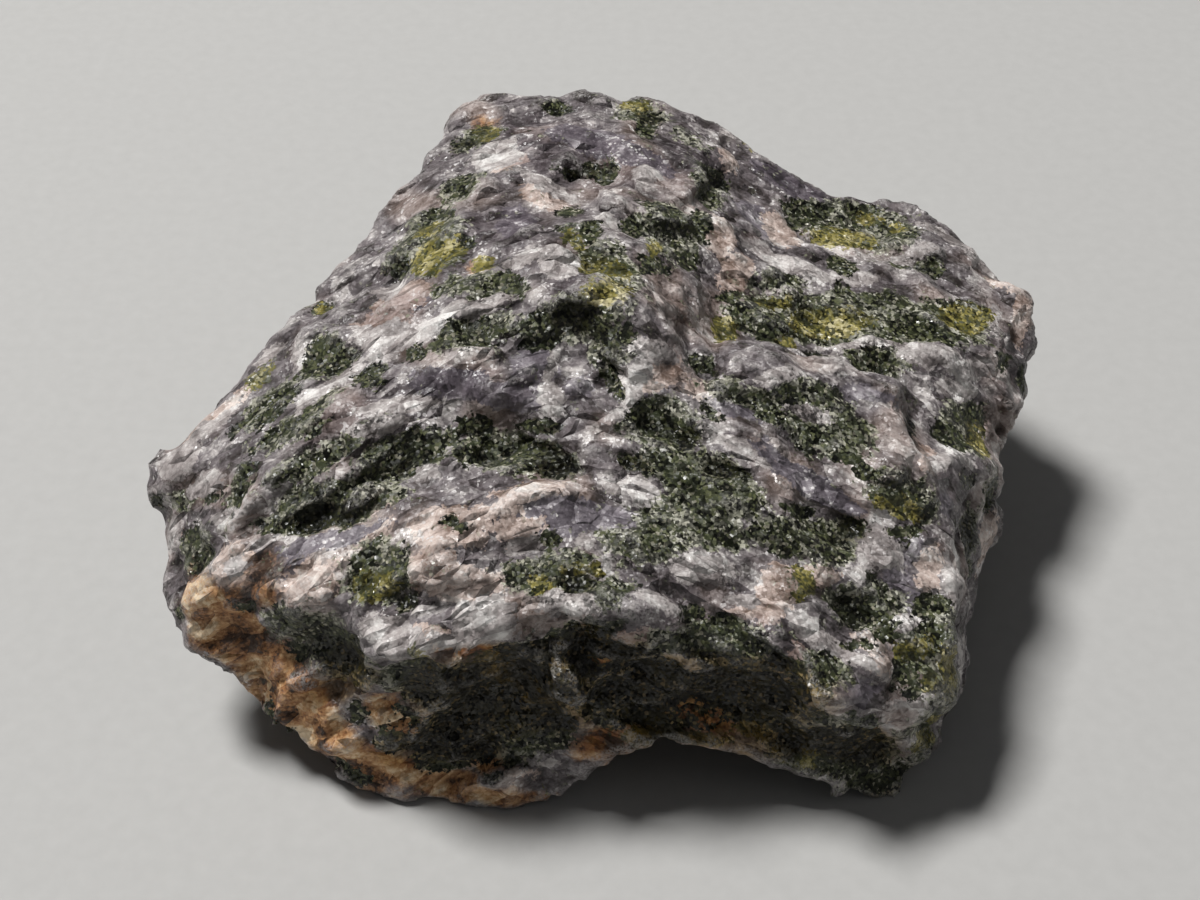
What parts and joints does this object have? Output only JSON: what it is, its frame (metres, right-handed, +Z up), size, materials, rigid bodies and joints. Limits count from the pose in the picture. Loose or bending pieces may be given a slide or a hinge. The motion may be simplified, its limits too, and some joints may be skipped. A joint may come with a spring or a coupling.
{
  "type": "gabbro stone",
  "caption": "Rough broken piece of gabbro with a high hump, a ridged side facet and an undercut front, standing on small flat spots.",
  "frame": {"origin": "middle of the stone's footprint box, on the surface it stands on", "axes": "+X to the right as the stone is seen from its undercut front, +Y to the back, +Z up"},
  "size_m": [0.0604, 0.0512, 0.0263],
  "materials": {
    "gabbro": "rough fracture surface, waxy to glassy on the grains, mottled lilac grey, pinkish white, green-black and olive with rust stains"
  },
  "bodies": {
    "root": {"gabbro_stone": "gabbro"}
  },
  "joints": []
}
